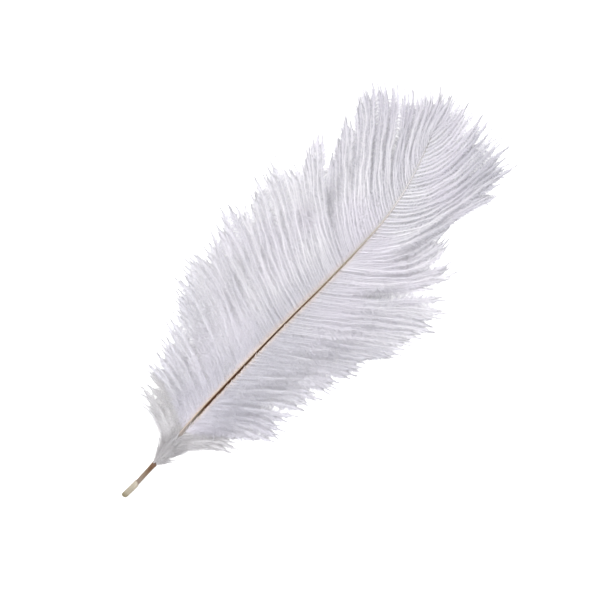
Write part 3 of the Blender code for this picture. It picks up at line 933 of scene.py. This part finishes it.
def horn_material():
    """The shaft: a brown groove, darkened in part by painted shade, between peach edges with some
    painted highlight, turning gold, olive and cream to the tip, with fine streaks along it in colour,
    roughness and height."""
    made, tree, shader, _ = new_material("shaft_horn")
    along = attribute(tree, "along")
    edges = colour_ramp(tree, along, EDGE_COLOURS)
    bottom = colour_ramp(tree, along, GROOVE_COLOURS)
    sheath = colour_ramp(tree, along, SHEATH_COLOURS)
    # the groove's darker colour is partly painted shade, the edges' paler colour partly painted
    # highlight
    rachis = mix(tree, attribute(tree, "groove"), edges, bottom)
    horn = mix(tree, attribute(tree, "sheath"), rachis, sheath)
    place = add(tree, "ShaderNodeTexCoord").outputs["Object"]
    stretch = add(tree, "ShaderNodeMapping", {"Vector": place, "Scale": STREAK_STRETCH})
    noise = add(tree, "ShaderNodeTexNoise", {"Vector": stretch.outputs[0], "Scale": STREAK_SIZE,
                                             "Detail": 4.0, "Roughness": 0.6})
    streak = noise.outputs["Fac"]
    mottle = remap(tree, streak, 0.3, 0.7, 0.78, 1.08)
    toned = add(tree, "ShaderNodeVectorMath", {0: horn, 1: mottle}, operation="MULTIPLY")
    bump = add(tree, "ShaderNodeBump", {"Height": streak, "Strength": 0.25, "Distance": 0.1 * MM})
    tree.links.new(toned.outputs[0], shader.inputs["Base Color"])
    tree.links.new(remap(tree, streak, 0.0, 1.0, 0.45, 0.65), shader.inputs["Roughness"])
    tree.links.new(bump.outputs[0], shader.inputs["Normal"])
    shader.inputs["Specular IOR Level"].default_value = 0.05
    return made


def table_material():
    """A plain near-white table."""
    made, tree, shader, _ = new_material("pale_table")
    place = add(tree, "ShaderNodeTexCoord").outputs["Object"]
    grain = add(tree, "ShaderNodeTexNoise", {"Vector": place, "Scale": 9.0, "Detail": 2.0})
    tree.links.new(colour_ramp(tree, grain.outputs["Fac"], TABLE_COLOURS), shader.inputs["Base Color"])
    shader.inputs["Roughness"].default_value = 0.9
    shader.inputs["Specular IOR Level"].default_value = 0.2
    return made


# ---- stage ----

VIEW_TURN = math.radians(-52.1)
VIEW_WIDTH = 351.6             # what the view spans at the height of the feather's middle
VIEW_CENTRE = (154.6, -10.7)   # s and t at the view's middle
FEATHER_MIDDLE = 3.0
LENS, SENSOR = 85.0, 36.0
ROOM_LIGHT = 1.85
TABLE_SIZE = 6.0
# Area lights: name, place in metres, size, watts, colour.
LIGHTS = [
    ("key", (0.1, 0.55, 1.15), 0.7, 9.5, (1.0, 0.99, 0.98)),
    ("fill", (-0.5, -0.8, 0.9), 0.9, 2.5, (0.97, 0.98, 1.0)),
]


def make_camera():
    """Straight down, turned so that the feather runs from lower left to upper right."""
    camera = bpy.data.objects.new("camera", bpy.data.cameras.new("camera"))
    camera.data.lens = LENS
    camera.data.sensor_width = SENSOR
    height = VIEW_WIDTH * LENS / SENSOR + FEATHER_MIDDLE
    camera.location = to_frame(np.array([*VIEW_CENTRE, height]))
    camera.rotation_euler = (0.0, 0.0, VIEW_TURN)
    bpy.context.scene.collection.objects.link(camera)
    bpy.context.scene.camera = camera


def soft_light(name, place, size, watts, colour):
    """A square area light aimed at the origin."""
    light = bpy.data.objects.new(name, bpy.data.lights.new(name, "AREA"))
    light.data.size = size
    light.data.energy = watts
    light.data.color = colour
    light.location = place
    x, y, z = place
    light.rotation_euler = (math.atan2(math.hypot(x, y), z), 0.0, math.atan2(-y, -x) - math.pi / 2)
    bpy.context.scene.collection.objects.link(light)


def make_stage():
    """Pale table, white surroundings, two soft lights and the plain view transform."""
    bpy.ops.mesh.primitive_plane_add(size=TABLE_SIZE)
    table = bpy.context.object
    table.name = "table"
    table.data.materials.append(table_material())
    scene = bpy.context.scene
    scene.view_settings.view_transform = "Standard"
    scene.world = bpy.data.worlds.new("white room")
    scene.world.use_nodes = True
    back = scene.world.node_tree.nodes["Background"]
    back.inputs["Color"].default_value = (1.0, 1.0, 1.0, 1.0)
    back.inputs["Strength"].default_value = ROOM_LIGHT
    for light in LIGHTS:
        soft_light(*light)


# ---- the plume ----

# Each vane's barbs make three pieces, by where their roots lie; those below are the down's.
DOWN_END = 52
VANE_PARTS = [("lower", DOWN_END, 118), ("middle", 118, 178), ("upper", 178, 400)]


def make_plume():
    """The vanes' six pieces, the down and the shaft."""
    tone = plume_tone_group()
    barb_white = fibre_material("barb_white", tone, **BARB_WHITE)
    down_white = fibre_material("down_white", tone, **DOWN_WHITE)
    left = vane_barbs(LEFT_BARBS, 1, BARBS_PER_SIDE)
    right = vane_barbs(RIGHT_BARBS, -1, BARBS_PER_SIDE)
    down = []
    for node, barbs in (("left_vane", left), ("right_vane", right)):
        s = barbs["path"][:, 0, 0]
        for label, start, end in VANE_PARTS:
            chosen = part_of(barbs, (s >= start) & (s < end))
            fibre_piece(f"{node}_{label}", [(chosen, RIB_THICK["vane"], VANE_FINE, VANE_UNDER)],
                        barb_white, "barb_white", node)
        down.append((part_of(barbs, s < DOWN_END), RIB_THICK["down"], DOWN_FINE, DOWN_UNDER))
    down.append((fluff_barbs(FLUFF_BARBS), RIB_THICK["fluff"], DOWN_FINE, DOWN_UNDER))
    fibre_piece("down_tuft", down, down_white, "down_white", "base_down")
    shaft = mesh_piece("shaft_horn", *shaft_surface())
    shaft.data.shade_smooth()
    hand_over(shaft, horn_material(), "shaft_horn", "shaft")


make_plume()
make_camera()
make_stage()
